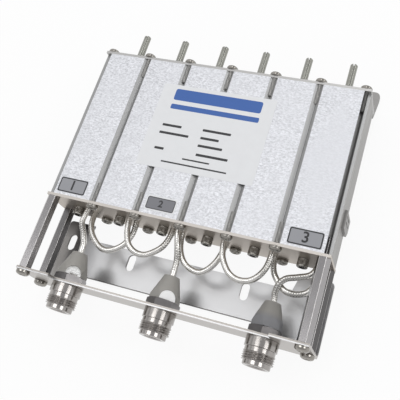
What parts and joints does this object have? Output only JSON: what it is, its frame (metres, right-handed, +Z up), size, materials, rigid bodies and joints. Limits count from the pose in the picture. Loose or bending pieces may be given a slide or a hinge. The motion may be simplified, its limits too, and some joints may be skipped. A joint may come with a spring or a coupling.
{
  "type": "duplexer",
  "caption": "Flat multi-cavity radio duplexer: grooved extrusion between end plates, screw tuning rods, braided jumper loops and a folded bracket with threaded coaxial sockets.",
  "frame": {"origin": "on the plane under both feet, at the centre of the whole object's box", "axes": "+Z up, +Y from the coaxial sockets towards the tuning rods, +X across the cavities"},
  "size_m": [0.1578, 0.1718, 0.0377],
  "materials": {
    "housing": "clear-lacquered extrusion, bright, finely stippled",
    "plate": "warm champagne-grey satin",
    "copper": "bright copper",
    "rod": "dull nickel plating",
    "brass": "machined brass",
    "nut": "dark nickel plating",
    "screw": "plated steel",
    "standoff": "dark bright steel",
    "sheet": "neutral grey satin",
    "nickel": "bright nickel plating",
    "white": "matt white",
    "zinc": "matt grey casting",
    "braid": "tinned braid"
  },
  "bodies": {
    "duplexer": {"cavity_housing": "housing", "near_end_plate": "plate", "far_end_plate": "plate", "resonator_1": "copper", "resonator_2": "copper", "resonator_3": "copper", "resonator_4": "copper", "resonator_5": "copper", "resonator_6": "copper", "coupling_loops": "copper", "tuning_bushings": "brass", "centre_contact_1": "brass", "centre_contact_2": "brass", "centre_contact_3": "brass", "tuning_lock_nuts": "nut", "socket_nut_1": "nut", "socket_nut_2": "nut", "socket_nut_3": "nut", "near_plate_screws": "screw", "far_plate_screws": "screw", "resonator_screws": "screw", "front_bracket_screws": "screw", "standoff_upper_left": "standoff", "standoff_upper_right": "standoff", "standoff_lower_left": "standoff", "standoff_lower_right": "standoff", "front_bracket": "sheet", "rear_bracket": "sheet", "side_clip": "sheet", "socket_body_1": "nickel", "socket_body_2": "nickel", "socket_body_3": "nickel", "socket_insulator_1": "white", "socket_insulator_2": "white", "socket_insulator_3": "white", "hood_seal_1": "white", "hood_seal_2": "white", "hood_seal_3": "white", "cable_hood_1": "zinc", "cable_hood_2": "zinc", "cable_hood_3": "zinc", "jumper_cable_1": "braid", "jumper_cable_2": "braid", "jumper_cable_3": "braid", "jumper_cable_4": "braid", "jumper_cable_5": "braid", "high_port_cable": "braid", "antenna_cable": "braid", "low_port_cable": "braid"},
    "tuner_1": {"tuning_rod_1": "rod"},
    "tuner_2": {"tuning_rod_2": "rod"},
    "tuner_3": {"tuning_rod_3": "rod"},
    "tuner_4": {"tuning_rod_4": "rod"},
    "tuner_5": {"tuning_rod_5": "rod"},
    "tuner_6": {"tuning_rod_6": "rod"}
  },
  "joints": [
    {"name": "tuning_travel_1", "type": "slide", "parent": "duplexer", "child": "tuner_1", "axis": [0, 1, 0], "range_m": [-0.012, 0.01]},
    {"name": "tuning_travel_2", "type": "slide", "parent": "duplexer", "child": "tuner_2", "axis": [0, 1, 0], "range_m": [-0.012, 0.01]},
    {"name": "tuning_travel_3", "type": "slide", "parent": "duplexer", "child": "tuner_3", "axis": [0, 1, 0], "range_m": [-0.012, 0.01]},
    {"name": "tuning_travel_4", "type": "slide", "parent": "duplexer", "child": "tuner_4", "axis": [0, 1, 0], "range_m": [-0.012, 0.01]},
    {"name": "tuning_travel_5", "type": "slide", "parent": "duplexer", "child": "tuner_5", "axis": [0, 1, 0], "range_m": [-0.012, 0.01]},
    {"name": "tuning_travel_6", "type": "slide", "parent": "duplexer", "child": "tuner_6", "axis": [0, 1, 0], "range_m": [-0.012, 0.01]}
  ]
}
